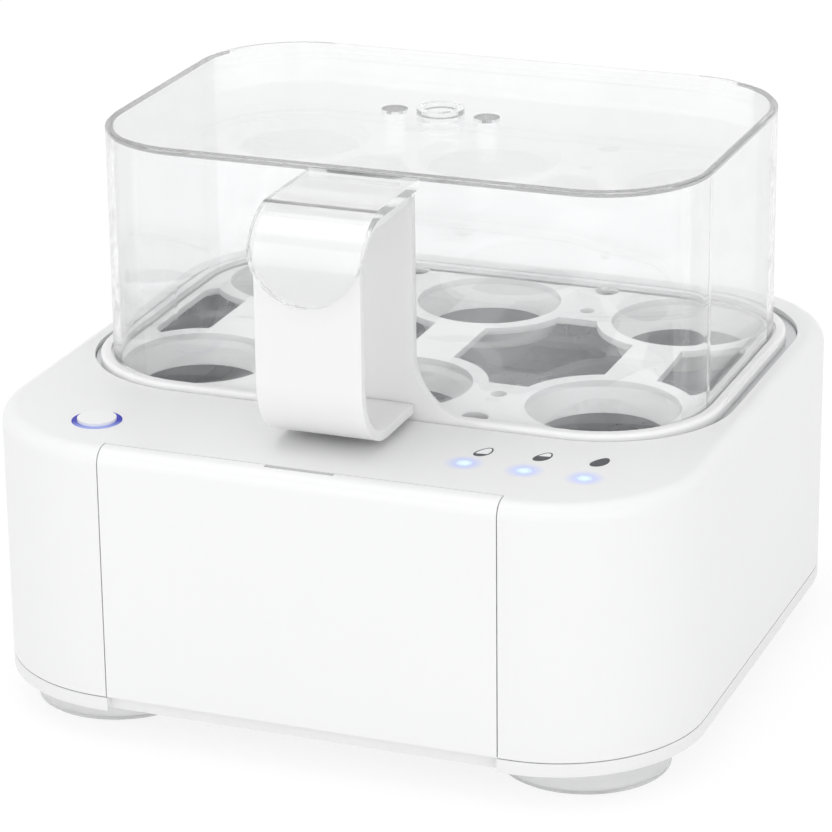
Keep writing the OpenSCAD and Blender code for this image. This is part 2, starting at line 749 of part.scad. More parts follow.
module rack_cuts() {
    for (p = seats) translate([p[0], p[1], flange_z - seat_h]) seat_cone(0);
    // Steam openings between the rows, kept off the seats and their webs
    for (s = [-1, 1]) difference() {
        translate([s * (seat_pitch_x / 2), rack_y, flange_z - 1]) slab(seat_pitch_x - 14, seat_pitch_y - 14.6, 10, plate_t + 2);
        for (p = seats)
            translate([p[0], p[1], flange_z - 2]) cylinder(h = plate_t + 4, r = seat_r + 4);
    }
    for (s = [-1, 1]) difference() {
        translate([s * (seat_pitch_x + 14), rack_y, flange_z - 1]) slab(14, seat_pitch_y - 28.6, 5, plate_t + 2);
        for (p = seats)
            translate([p[0], p[1], flange_z - 2]) cylinder(h = plate_t + 4, r = seat_r + 4);
    }
    for (s = [-1, 1], t = [-1, 1]) {
        translate([s * seat_pitch_x / 2, rack_y + t * seat_pitch_y / 2, flange_z - 1])
            cylinder(h = plate_t + 2, r = 2.1);
        translate([s * seat_pitch_x / 2, rack_y + t * (rack_d / 2 - rim_t - 3.6), flange_z - 1])
            cylinder(h = plate_t + 2, r = 3.4);
    }
}

module back_plate() {
    translate([0, rack_front, 0]) rotate([90, 0, 0]) translate([0, 0, -rim_t + 0.5]) linear_extrude(rim_t - 0.5)
        difference() {
            union() {
                translate([-handle_w / 2, flange_z + plate_t]) square([handle_w, handle_top - plate_dip - flange_z - plate_t]);
                translate([-handle_w / 2 - flare_r, flange_z + plate_t])
                    square([handle_w + 2 * flare_r, rim_top - plate_z - 0.4 + flare_r]);
            }
            for (s = [-1, 1])
                translate([s * (handle_w / 2 + flare_r), rim_top - 0.4 + flare_r]) circle(flare_r);
            for (z = [handle_low, handle_top - handle_t])
                translate([tab_side - handle_w / 2 - seat, z - seat])
                    square([handle_w - 2 * (tab_side - seat), handle_t + 2 * seat]);
        }
}

// Open strip handle with a tab at each end that sits in a slot of the back plate
module rack_handle() {
    color("white") {
        translate([-handle_w / 2, 0, 0]) rotate([90, 0, 90]) linear_extrude(handle_w) difference() {
            handle_outline(0);
            handle_outline(handle_t);
        }
        for (z = [handle_low, handle_top - handle_t])
            block([tab_side - handle_w / 2, rack_front - seat - eps, z],
                  [handle_w / 2 - tab_side, rack_front + rim_t - 0.5, z + handle_t]);
    }
}

// Side outline of the handle, set in by an amount, in depth and height
module handle_outline(inset) {
    low_r = handle_bend_r - inset;
    top_r = handle_edge_r - inset;
    y0 = handle_front + inset;
    y1 = rack_front - seat + (inset > 0 ? eps : 0);
    z0 = handle_low + inset;
    z1 = handle_top - inset;
    translate([y0 + top_r, z0 + low_r]) square([y1 - y0 - top_r, z1 - z0 - low_r]);
    translate([y0 + low_r, z0]) square([y1 - y0 - low_r, low_r + 1]);
    translate([y0, z0 + low_r]) square([top_r + 1, z1 - z0 - low_r - top_r]);
    translate([y0 + low_r, z0 + low_r]) circle(low_r);
    translate([y0 + top_r, z1 - top_r]) circle(top_r);
}

module clear_lid() {
    color("azure", 0.35) difference() {
        union() {
            translate([0, rack_y, plate_z]) soft_slab(lid_w, lid_d, lid_r, lid_h, lid_edge_r);
            translate([0, rack_y - 2, lid_top - eps]) pipe(6.2, 4.4, 0, 1.5);
            tongue();
        }
        translate([0, rack_y, plate_z - 1])
            slab(lid_w - 2 * lid_wall, lid_d - 2 * lid_wall, lid_r - lid_wall, lid_h + 1 - lid_top_t);
        for (s = [-1, 1])
            translate([s * steam_x, rack_y - 2, lid_top - lid_top_t - 1]) cylinder(h = lid_top_t + 3, r = steam_r);
    }
}

// Tongue over the handle: flat, bend and drop, all ending in a half round seen from the front
module tongue() {
    bend_y = tongue_front + tongue_bend_r;
    bend_z = tongue_top - tongue_bend_r;
    low = lid_top - tongue_drop;
    block([-tongue_w / 2, bend_y, tongue_top - tongue_t], [tongue_w / 2, lid_front + 0.5, tongue_top]);
    intersection() {
        union() {
            translate([-tongue_w / 2, bend_y, bend_z]) rotate([0, 90, 0]) rotate([0, 0, 180])
                rotate_extrude(angle = 90) translate([tongue_bend_r - tongue_t, 0]) square([tongue_t, tongue_w]);
            block([-tongue_w / 2, tongue_front, low - 1], [tongue_w / 2, tongue_front + tongue_t, bend_z]);
        }
        translate([0, bend_y + 1, low + tongue_w / 2]) rotate([90, 0, 0]) linear_extrude(tongue_bend_r + 2) {
            circle(tongue_w / 2);
            translate([-tongue_w / 2, 0]) square([tongue_w, tongue_drop]);
        }
    }
}

base_housing();
bottom_cover();
foot(feet[0]);  // foot_front_left
foot(feet[1]);  // foot_front_right
foot(feet[2]);  // foot_rear_left
foot(feet[3]);  // foot_rear_right
cover_screws();
cord_gland();
heating_pan();
pan_gasket();
pan_studs();
pan_bracket();
pan_nuts();
bracket_screws();
heat_spreader();
heating_element();
element_terminals();
thermostat();
thermostat_clip();
clip_screws();
thermal_fuse();
temperature_sensor();
control_board();
control_board_screws();
tact_switch();
switch_plunger();
power_button();
light_ring();
status_leds();
lens(lamps[0]);  // lens_soft
lens(lamps[1]);  // lens_medium
lens(lamps[2]);  // lens_hard
power_board();
power_board_screws();
relay();
supply_capacitor();
filter_capacitor();
buzzer();
terminal_block();
drawer_rails();
drawer_front();
drawer_tray();
measuring_cup();
piercer_body();
piercer_needle();
egg_rack();
rack_handle();
clear_lid();
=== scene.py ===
"""Looks of a six-egg cooker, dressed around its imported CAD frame."""

import json
import logging
import math
from dataclasses import dataclass
from enum import Enum
from typing import Callable, Sequence

import bpy
from mathutils import Matrix, Vector

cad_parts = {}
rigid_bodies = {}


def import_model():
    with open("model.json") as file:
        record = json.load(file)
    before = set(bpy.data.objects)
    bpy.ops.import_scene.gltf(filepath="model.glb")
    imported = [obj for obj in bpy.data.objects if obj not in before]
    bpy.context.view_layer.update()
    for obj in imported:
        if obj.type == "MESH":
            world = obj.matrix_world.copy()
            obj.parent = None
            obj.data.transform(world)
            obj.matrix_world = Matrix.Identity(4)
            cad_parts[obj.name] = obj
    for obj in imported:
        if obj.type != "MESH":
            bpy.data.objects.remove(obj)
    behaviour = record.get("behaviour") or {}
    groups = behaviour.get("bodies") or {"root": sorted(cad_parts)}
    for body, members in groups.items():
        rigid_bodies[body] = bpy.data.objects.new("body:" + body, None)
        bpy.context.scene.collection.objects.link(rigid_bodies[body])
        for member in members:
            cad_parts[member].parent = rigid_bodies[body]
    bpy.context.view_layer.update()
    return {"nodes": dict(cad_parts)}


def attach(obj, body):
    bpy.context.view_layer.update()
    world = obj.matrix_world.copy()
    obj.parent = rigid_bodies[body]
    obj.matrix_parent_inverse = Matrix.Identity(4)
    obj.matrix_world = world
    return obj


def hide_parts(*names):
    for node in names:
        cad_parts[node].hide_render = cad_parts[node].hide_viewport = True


LOG = logging.getLogger("egg_cooker")
MM = 0.001
DECK = 78.0 * MM
ORIGIN = (0.0, 0.0, 0.0)
BLACK = (0.0, 0.0, 0.0)
WHITE = (1.0, 1.0, 1.0, 1.0)
MIX_A, MIX_B, MIX_RESULT = 6, 7, 2  # a Mix node's colour sockets, whose names others share

Colour = tuple[float, float, float]
Point = tuple[float, float, float]
Glow = tuple[Point, float, float, float]  # centre, inner radius, outer radius, strength


class Detail(Enum):
    """How a metal surface is worked."""

    BRUSHED = "brushed"
    SPUN = "spun"


# --- nodes --------------------------------------------------------------------


def new_group(
    name: str,
    inputs: Sequence[tuple[str, str, float]],
    outputs: Sequence[tuple[str, str]],
) -> bpy.types.ShaderNodeTree:
    """Make an empty shader node group with named sockets.

    Args:
        name: The group's name.
        inputs: Name, socket type and default value of each input.
        outputs: Name and socket type of each output.

    Returns:
        The group, with its input and output nodes added.
    """
    tree = bpy.data.node_groups.new(name, "ShaderNodeTree")
    for label, kind, value in inputs:
        socket = tree.interface.new_socket(label, in_out="INPUT", socket_type=kind)
        if kind == "NodeSocketFloat":
            socket.default_value = value
    for label, kind in outputs:
        tree.interface.new_socket(label, in_out="OUTPUT", socket_type=kind)
    tree.nodes.new("NodeGroupInput")
    tree.nodes.new("NodeGroupOutput")
    return tree


def node(
    tree: bpy.types.NodeTree,
    kind: str,
    links: dict[str | int, bpy.types.NodeSocket] | None = None,
    **values: object,
) -> bpy.types.Node:
    """Add a node, set its properties and connect its inputs.

    Args:
        tree: The node tree to add to.
        kind: Blender's type name of the node.
        links: Sockets to connect to inputs, by input name or index.
        **values: Properties of the node; a name that starts with in_ sets that input.

    Returns:
        The new node.
    """
    made = tree.nodes.new(kind)
    for name, value in values.items():
        if name.startswith("in_"):
            key = name[3:]
            socket = made.inputs[int(key) if key.isdigit() else key.replace("_", " ")]
            socket.default_value = value
        else:
            setattr(made, name, value)
    for key, source in (links or {}).items():
        tree.links.new(source, made.inputs[key])
    return made


def math_node(
    tree: bpy.types.NodeTree,
    operation: str,
    a: bpy.types.NodeSocket,
    b: bpy.types.NodeSocket | float,
) -> bpy.types.NodeSocket:
    """Add a Math node.

    Args:
        tree: The node tree to add to.
        operation: The Math node's operation.
        a: The first value.
        b: The second value, a socket or a number.

    Returns:
        The node's output.
    """
    made = node(tree, "ShaderNodeMath", {0: a}, operation=operation)
    if isinstance(b, bpy.types.NodeSocket):
        tree.links.new(b, made.inputs[1])
    else:
        made.inputs[1].default_value = b
    return made.outputs[0]


def shade_between(
    tree: bpy.types.NodeTree,
    factor: bpy.types.NodeSocket,
    low: Colour | bpy.types.NodeSocket,
    high: Colour,
) -> bpy.types.NodeSocket:
    """Mix two colours by a value.

    Args:
        tree: The node tree to add to.
        factor: The value that mixes them.
        low: The colour at 0, or a socket that gives it.
        high: The colour at 1.

    Returns:
        The mixed colour's socket.
    """
    mix = node(tree, "ShaderNodeMix", {"Factor": factor}, data_type="RGBA")
    mix.inputs[MIX_B].default_value = (*high, 1.0)
    if isinstance(low, bpy.types.NodeSocket):
        tree.links.new(low, mix.inputs[MIX_A])
    else:
        mix.inputs[MIX_A].default_value = (*low, 1.0)
    return mix.outputs[MIX_RESULT]


def mix_shaders(
    tree: bpy.types.NodeTree,
    share: bpy.types.NodeSocket,
    first: bpy.types.Node,
    second: bpy.types.Node,
    out: bpy.types.Node,
) -> None:
    """Show a mix of two shaders.

    Args:
        tree: The node tree to add to.
        share: The second shader's share.
        first: The first shader.
        second: The second shader.
        out: The output node that shows the mix.
    """
    links = {0: share, 1: first.outputs[0], 2: second.outputs[0]}
    mix = node(tree, "ShaderNodeMixShader", links)
    tree.links.new(mix.outputs[0], out.inputs["Surface"])


def fresh_tree(owner: bpy.types.Material | bpy.types.World) -> bpy.types.ShaderNodeTree:
    """Turn on the nodes of a material or a world and empty them.

    Args:
        owner: The material or world.

    Returns:
        Its empty node tree.
    """
    owner.use_nodes = True
    owner.node_tree.nodes.clear()
    return owner.node_tree


def darker(colour: Colour, share: float) -> Colour:
    """Return the colour times a share."""
    return (colour[0] * share, colour[1] * share, colour[2] * share)


# --- node groups shared by the finishes ---------------------------------------


def grain_group() -> bpy.types.NodeTree:
    """Build the moulded-surface group: fine grain, slow unevenness and faint handling marks.

    Returns:
        The group.
    """
    tree = new_group(
        "moulded_surface",
        [
            ("Vector", "NodeSocketVector", 0.0),
            ("Grain Scale", "NodeSocketFloat", 2500.0),
            ("Grain Share", "NodeSocketFloat", 0.6),
            ("Mark Share", "NodeSocketFloat", 0.3),
        ],
        [
            ("Height", "NodeSocketFloat"),
            ("Tone", "NodeSocketFloat"),
            ("Marks", "NodeSocketFloat"),
        ],
    )
    ins, outs = tree.nodes["Group Input"], tree.nodes["Group Output"]
    vector = ins.outputs["Vector"]
    grain = node(
        tree, "ShaderNodeTexNoise",
        {"Vector": vector, "Scale": ins.outputs["Grain Scale"]},
        in_Detail=2.0, in_Roughness=0.55,
    )
    slow = node(tree, "ShaderNodeTexNoise", {"Vector": vector}, in_Scale=22.0, in_Detail=3.0)
    drawn_out = node(tree, "ShaderNodeMapping", {"Vector": vector}, in_Scale=(1.0, 0.16, 1.0))
    streak = node(
        tree, "ShaderNodeTexNoise", {"Vector": drawn_out.outputs[0]}, in_Scale=260.0, in_Detail=4.0
    )
    height = node(
        tree, "ShaderNodeMix",
        {"Factor": ins.outputs["Grain Share"], "A": slow.outputs["Fac"], "B": grain.outputs["Fac"]},
    )
    strong = node(
        tree, "ShaderNodeMapRange", {"Value": streak.outputs["Fac"]},
        in_From_Min=0.52, in_From_Max=0.78,
    )
    marks = math_node(tree, "MULTIPLY", strong.outputs[0], ins.outputs["Mark Share"])
    tree.links.new(height.outputs[0], outs.inputs["Height"])
    tree.links.new(slow.outputs["Fac"], outs.inputs["Tone"])
    tree.links.new(marks, outs.inputs["Marks"])
    return tree


def lamp_glow_group() -> bpy.types.NodeTree:
    """Build the glow group: how near a surface point is to a lamp under the plastic.

    Returns:
        The group.
    """
    tree = new_group(
        "lamp_glow",
        [
            ("Vector", "NodeSocketVector", 0.0),
            ("Centre", "NodeSocketVector", 0.0),
            ("Inner", "NodeSocketFloat", 0.002),
            ("Outer", "NodeSocketFloat", 0.004),
        ],
        [("Glow", "NodeSocketFloat")],
    )
    ins, outs = tree.nodes["Group Input"], tree.nodes["Group Output"]
    away = node(
        tree, "ShaderNodeVectorMath",
        {0: ins.outputs["Vector"], 1: ins.outputs["Centre"]}, operation="DISTANCE",
    )
    near = node(
        tree, "ShaderNodeMapRange",
        {
            "Value": away.outputs["Value"],
            "From Min": ins.outputs["Outer"],
            "From Max": ins.outputs["Inner"],
        },
        interpolation_type="SMOOTHSTEP",
    )
    tree.links.new(near.outputs[0], outs.inputs["Glow"])
    return tree


def metal_group() -> bpy.types.NodeTree:
    """Build the metal group: fine lines along X, or rings about Z, with dull patches.

    Returns:
        The group.
    """
    tree = new_group(
        "worked_metal",
        [
            ("Vector", "NodeSocketVector", 0.0),
            ("Line Scale", "NodeSocketFloat", 900.0),
            ("Rings", "NodeSocketFloat", 0.0),
        ],
        [("Height", "NodeSocketFloat"), ("Dull", "NodeSocketFloat")],
    )
    ins, outs = tree.nodes["Group Input"], tree.nodes["Group Output"]
    vector, scale = ins.outputs["Vector"], ins.outputs["Line Scale"]
    drawn_out = node(tree, "ShaderNodeMapping", {"Vector": vector}, in_Scale=(0.03, 1.0, 1.0))
    lines = node(
        tree, "ShaderNodeTexNoise", {"Vector": drawn_out.outputs[0], "Scale": scale}, in_Detail=2.0
    )
    flat = node(tree, "ShaderNodeMapping", {"Vector": vector}, in_Scale=(1.0, 1.0, 0.0))
    radius = node(tree, "ShaderNodeVectorMath", {0: flat.outputs[0]}, operation="LENGTH")
    rings = node(
        tree, "ShaderNodeTexNoise", {"W": radius.outputs["Value"], "Scale": scale},
        noise_dimensions="1D", in_Detail=2.0,
    )
    height = node(
        tree, "ShaderNodeMix",
        {"Factor": ins.outputs["Rings"], "A": lines.outputs["Fac"], "B": rings.outputs["Fac"]},
    )
    dull = node(tree, "ShaderNodeTexNoise", {"Vector": vector}, in_Scale=60.0, in_Detail=5.0)
    tree.links.new(height.outputs[0], outs.inputs["Height"])
    tree.links.new(dull.outputs["Fac"], outs.inputs["Dull"])
    return tree


@dataclass
class Groups:
    """The node groups that the finishes share, built once."""

    grain: bpy.types.NodeTree
    glow: bpy.types.NodeTree
    metal: bpy.types.NodeTree

    @classmethod
    def build(cls) -> "Groups":
        """Build every shared group."""
        return cls(grain_group(), lamp_glow_group(), metal_group())


# --- finishes -----------------------------------------------------------------


@dataclass
class Bench:
    """A material in the making, with all that a finish works on."""

    groups: Groups
    material: bpy.types.Material
    tree: bpy.types.ShaderNodeTree
    shader: bpy.types.Node
    out: bpy.types.Node
    coords: bpy.types.NodeSocket

    @classmethod
    def start(cls, name: str, groups: Groups) -> "Bench":
        """Start a material with a Principled shader and object coordinates.

        Args:
            name: The material's name.
            groups: The shared node groups.

        Returns:
            The bench that holds the material.
        """
        material = bpy.data.materials.new(name)
        tree = fresh_tree(material)
        shader = node(tree, "ShaderNodeBsdfPrincipled")
        out = node(tree, "ShaderNodeOutputMaterial", {"Surface": shader.outputs[0]})
        coords = node(tree, "ShaderNodeTexCoord").outputs["Object"]
        return cls(groups, material, tree, shader, out, coords)

    def place(self, group: bpy.types.NodeTree, **values: object) -> bpy.types.Node:
        """Place a shared group on the object's coordinates.

        Args:
            group: The group.
            **values: Its other inputs, each name starting with in_.

        Returns:
            The group node.
        """
        links = {"Vector": self.coords}
        return node(self.tree, "ShaderNodeGroup", links, node_tree=group, **values)

    def set(self, **values: object) -> None:
        """Set sockets of the shader, named with _ for spaces."""
        for name, value in values.items():
            self.shader.inputs[name.replace("_", " ")].default_value = value

    def feed(self, name: str, source: bpy.types.NodeSocket) -> None:
        """Connect a source to one of the shader's sockets."""
        self.tree.links.new(source, self.shader.inputs[name])

    def roughness(
        self, source: bpy.types.NodeSocket, low: float, high: float, **span: float
    ) -> None:
        """Make the roughness follow a value.

        Args:
            source: The value.
            low: The roughness at its lower end.
            high: The roughness at its upper end.
            **span: in_From_Min and in_From_Max, where the ends aren't 0 and 1.
        """
        rough = node(
            self.tree, "ShaderNodeMapRange", {"Value": source},
            in_To_Min=low, in_To_Max=high, **span,
        )
        self.feed("Roughness", rough.outputs[0])

    def bump(self, height: bpy.types.NodeSocket, strength: float, depth: float) -> None:
        """Raise the surface by a height.

        Args:
            height: The height, from 0 to 1.
            strength: How strong the bump is.
            depth: How deep it is, in metres.
        """
        made = node(
            self.tree, "ShaderNodeBump", {"Height": height}, in_Strength=strength, in_Distance=depth
        )
        self.feed("Normal", made.outputs[0])


@dataclass(frozen=True)
class Finish:
    """A finish, which becomes a material of the same name."""

    name: str

    def paint(self, bench: Bench) -> None:
        """Add the finish's own nodes; each kind of finish has its own way."""
        raise NotImplementedError

    def build(self, groups: Groups) -> bpy.types.Material:
        """Build the finish.

        Args:
            groups: The shared node groups.

        Returns:
            The material.
        """
        bench = Bench.start(self.name, groups)
        self.paint(bench)
        return bench.material


@dataclass(frozen=True)
class Plastic(Finish):
    """Moulded plastic, rubber or ceramic, lit from below where lamps lie under it."""

    colour: Colour
    roughness: float = 0.4
    grain: float = 2500.0
    depth: float = 0.00002
    grain_share: float = 0.6
    marks: float = 0.25
    dulling: float = 1.35
    tone: float = 0.985
    ior: float = 1.49
    inside: float = 0.0
    inside_depth: float = 0.003
    glow_at: tuple[Glow, ...] = ()
    glow_colour: Colour = (0.5, 0.55, 0.82)
    glow_light: float = 0.22

    def glow(self, bench: Bench) -> bpy.types.NodeSocket:
        """Find how strongly the nearest lamp shows at each point.

        Args:
            bench: The material in the making.

        Returns:
            The glow's strength, from 0 to 1.
        """
        strongest = None
        for centre, inner, outer, strength in self.glow_at:
            near = bench.place(
                bench.groups.glow, in_Centre=centre, in_Inner=inner, in_Outer=outer
            ).outputs["Glow"]
            near = math_node(bench.tree, "MULTIPLY", near, strength)
            if strongest is not None:
                near = math_node(bench.tree, "MAXIMUM", strongest, near)
            strongest = near
        return strongest

    def paint(self, bench: Bench) -> None:
        """Give the surface its grain, its uneven tone and its glow.

        Args:
            bench: The material in the making.
        """
        surface = bench.place(
            bench.groups.grain,
            in_Grain_Scale=self.grain, in_Grain_Share=self.grain_share, in_Mark_Share=self.marks,
        )
        colour = shade_between(
            bench.tree, surface.outputs["Tone"], darker(self.colour, self.tone), self.colour
        )
        if self.glow_at:
            glow = self.glow(bench)
            light = darker(self.glow_colour, self.glow_light)
            colour = shade_between(bench.tree, glow, colour, self.glow_colour)
            bench.feed("Emission Color", shade_between(bench.tree, glow, BLACK, light))
            bench.set(Emission_Strength=1.0)
        bench.feed("Base Color", colour)
        dulled = min(1.0, self.roughness * self.dulling)
        bench.roughness(surface.outputs["Marks"], self.roughness, dulled)
        bench.bump(surface.outputs["Height"], 0.5, self.depth)
        if self.inside:
            bench.set(
                Subsurface_Weight=self.inside, Subsurface_Radius=(1.0, 1.0, 1.0),
                Subsurface_Scale=self.inside_depth,
            )
        bench.set(IOR=self.ior)


@dataclass(frozen=True)
class ClearPlastic(Finish):
    """Clear moulded plastic that casts only a faint shadow."""

    colour: Colour = (0.978, 0.981, 0.984)
    roughness: float = 0.015
    haze: float = 0.05
    ior: float = 1.25
    through: float = 0.93
    leak: float = 0.12
    depth: float = 0.00004
    coat: float = 0.6
    coat_ior: float = 1.5

    def paint(self, bench: Bench) -> None:
        """Give the surface its gloss and haze, and let the lamps' rays through.

        Args:
            bench: The material in the making.
        """
        surface = bench.place(
            bench.groups.grain, in_Grain_Scale=60.0, in_Grain_Share=0.25, in_Mark_Share=1.0
        )
        bench.roughness(surface.outputs["Marks"], self.roughness, self.haze)
        bench.bump(surface.outputs["Height"], 0.15, self.depth)
        bench.set(
            Base_Color=(*self.colour, 1.0), Transmission_Weight=1.0, IOR=self.ior,
            Alpha=1.0 - self.leak,
            Coat_Weight=self.coat, Coat_Roughness=self.roughness, Coat_IOR=self.coat_ior,
        )
        path = node(bench.tree, "ShaderNodeLightPath")
        tint = (self.through, self.through, self.through, 1.0)
        clear = node(bench.tree, "ShaderNodeBsdfTransparent", in_Color=tint)
        mix_shaders(bench.tree, path.outputs["Is Shadow Ray"], bench.shader, clear, bench.out)


@dataclass(frozen=True)
class Metal(Finish):
    """Worked metal with lines or rings and dull patches."""

    colour: Colour
    roughness: float = 0.3
    dull: float = 0.45
    detail: Detail = Detail.BRUSHED
    line_scale: float = 900.0
    depth: float = 0.00001
    centre: Point = ORIGIN
    patch_tone: float = 0.86

    def paint(self, bench: Bench) -> None:
        """Give the surface its lines or rings, about its own middle.

        Args:
            bench: The material in the making.
        """
        if self.centre != ORIGIN:
            bench.coords = node(
                bench.tree, "ShaderNodeMapping", {"Vector": bench.coords},
                in_Location=[-c for c in self.centre],
            ).outputs[0]
        surface = bench.place(
            bench.groups.metal,
            in_Line_Scale=self.line_scale, in_Rings=1.0 if self.detail is Detail.SPUN else 0.0,
        )
        dull = surface.outputs["Dull"]
        patches = darker(self.colour, self.patch_tone)
        bench.feed("Base Color", shade_between(bench.tree, dull, patches, self.colour))
        bench.roughness(dull, self.roughness, self.dull, in_From_Min=0.35, in_From_Max=0.7)
        bench.bump(surface.outputs["Height"], 0.5, self.depth)
        bench.set(Metallic=1.0)


@dataclass(frozen=True)
class Board(Finish):
    """Printed circuit board with tracks under its solder mask."""

    mask: Colour = (0.02, 0.16, 0.06)
    mask_tone: float = 0.8
    track: Colour = (0.06, 0.3, 0.12)
    depth: float = 0.00003

    def paint(self, bench: Bench) -> None:
        """Lay the tracks between fields of solder mask.

        Args:
            bench: The material in the making.
        """
        cells = node(
            bench.tree, "ShaderNodeTexBrick", {"Vector": bench.coords}, offset=0.37, squash=0.6,
            in_Scale=160.0, in_Mortar_Size=0.03, in_Mortar_Smooth=0.1,
            in_Color1=(*self.mask, 1.0), in_Color2=(*darker(self.mask, self.mask_tone), 1.0),
            in_Mortar=(*self.track, 1.0),
        )
        bench.feed("Base Color", cells.outputs["Color"])
        bench.bump(cells.outputs["Fac"], 0.4, self.depth)
        bench.roughness(bench.place(bench.groups.grain).outputs["Tone"], 0.3, 0.4)


@dataclass(frozen=True)
class LitPlastic(Finish):
    """Light pipe lit from below, brighter towards its centre or along a direction."""

    dim: Colour
    bright: Colour
    centre: Point
    reach: float
    along: Point | None = None
    body: float = 0.5
    shine: float = 0.15

    def level(self, bench: Bench) -> bpy.types.NodeSocket:
        """Find how bright each point is.

        Args:
            bench: The material in the making.

        Returns:
            The brightness, from 0 to 1.
        """
        if self.along is None:
            return bench.place(
                bench.groups.glow, in_Centre=self.centre, in_Inner=0.0, in_Outer=self.reach
            ).outputs["Glow"]
        place = node(
            bench.tree, "ShaderNodeVectorMath", {0: bench.coords},
            operation="DOT_PRODUCT", in_1=self.along,
        )
        start = Vector(self.centre).dot(Vector(self.along))
        return node(
            bench.tree, "ShaderNodeMapRange", {"Value": place.outputs["Value"]},
            interpolation_type="SMOOTHSTEP", in_From_Min=start, in_From_Max=start + self.reach,
        ).outputs[0]

    def paint(self, bench: Bench) -> None:
        """Give the surface its light and a darker body colour, which is painted darker still away
        from the lamp as painted shade.

        Args:
            bench: The material in the making.
        """
        level = self.level(bench)
        bench.feed("Emission Color", shade_between(bench.tree, level, self.dim, self.bright))
        # The body colour follows the light's level: painted shade, half as bright where the pipe is
        # unlit.
        low, high = darker(self.dim, 0.5 * self.body), darker(self.dim, self.body)
        bench.feed("Base Color", shade_between(bench.tree, level, low, high))
        bench.set(Emission_Strength=1.0, Specular_IOR_Level=self.shine)
        bench.roughness(bench.place(bench.groups.grain).outputs["Tone"], 0.2, 0.3)


@dataclass
class Cad:
    """The CAD nodes by name, with the groups that their finishes share."""

    nodes: dict[str, bpy.types.Object]
    groups: Groups

    def dress(self, finish: Finish, *names: str) -> None:
        """Give CAD nodes a finish.

        Args:
            finish: The finish.
            *names: The nodes' names.
        """
        material = finish.build(self.groups)
        for name in names:
            data = self.nodes[name].data
            if not data.materials:
                data.materials.append(material)
            for i in range(len(data.materials)):
                data.materials[i] = material
            LOG.info("dressed %s with %s", name, material.name)


# --- modelling helpers --------------------------------------------------------


def deselect() -> None:
    """Deselect every object, so that an operator acts on the new one alone."""
    for o in bpy.context.view_layer.objects:
        o.select_set(False)


def pick(obj: bpy.types.Object) -> None:
    """Select one object alone and make it active."""
    deselect()
    obj.select_set(True)
    bpy.context.view_layer.objects.active = obj


def set_in_mesh() -> bpy.types.Object:
    """Put the new primitive's place and size into its mesh and return it."""
    bpy.ops.object.transform_apply(location=True, rotation=True, scale=True)
    return bpy.context.active_object


def settle(obj: bpy.types.Object, name: str, material: bpy.types.Material) -> bpy.types.Object:
    """Finish a piece: put its place into its mesh, name it and dress it.

    Args:
        obj: The finished piece.
        name: Its name.
        material: Its material.

    Returns:
        The same piece, at the origin, unturned and unscaled.
    """
    pick(obj)
    bpy.ops.object.transform_apply(location=True, rotation=True, scale=True)
    obj.name = obj.data.name = name
    obj.data.materials.clear()
    obj.data.materials.append(material)
    return obj


def edit_faces(obj: bpy.types.Object, keep: Callable[[bpy.types.MeshPolygon], bool]) -> None:
    """Enter edit mode in face mode with only some faces selected.

    Args:
        obj: The mesh object to edit.
        keep: Says of each face whether it is selected.
    """
    pick(obj)
    bpy.ops.object.mode_set(mode="EDIT")
    bpy.ops.mesh.select_mode(type="FACE")
    bpy.ops.mesh.select_all(action="DESELECT")
    bpy.ops.object.mode_set(mode="OBJECT")
    for face in obj.data.polygons:
        face.select = keep(face)
    bpy.ops.object.mode_set(mode="EDIT")


def done_editing() -> None:
    """Leave edit mode."""
    bpy.ops.object.mode_set(mode="OBJECT")


def join(pieces: Sequence[bpy.types.Object]) -> bpy.types.Object:
    """Join several pieces into one.

    Args:
        pieces: The pieces.

    Returns:
        The first piece, which now holds them all.
    """
    deselect()
    for piece in pieces:
        piece.select_set(True)
    bpy.context.view_layer.objects.active = pieces[0]
    bpy.ops.object.join()
    return pieces[0]


def cut_away(piece: bpy.types.Object, cutter: bpy.types.Object) -> None:
    """Cut one shape out of another and delete the cutter.

    Args:
        piece: The shape that is cut.
        cutter: The shape that is taken out of it.
    """
    cut = piece.modifiers.new("cut", "BOOLEAN")
    cut.operation, cut.object, cut.solver = "DIFFERENCE", cutter, "EXACT"
    bpy.context.view_layer.objects.active = piece
    bpy.ops.object.modifier_apply(modifier=cut.name)
    bpy.data.objects.remove(cutter)


def moulded_block(at: Point, size: Point, edge: float) -> bpy.types.Object:
    """Make a block with rounded edges.

    Args:
        at: The middle of its underside, in millimetres.
        size: Its width, depth and height, in millimetres.
        edge: The rounding's radius, in millimetres.

    Returns:
        The block.
    """
    deselect()
    middle = (at[0] * MM, at[1] * MM, (at[2] + size[2] / 2) * MM)
    bpy.ops.mesh.primitive_cube_add(size=MM, location=middle, scale=size)
    made = set_in_mesh()
    edit_faces(made, lambda face: True)
    bpy.ops.mesh.bevel(offset=edge * MM, segments=2, affect="EDGES")
    done_editing()
    return made


# --- sub-assemblies -----------------------------------------------------------


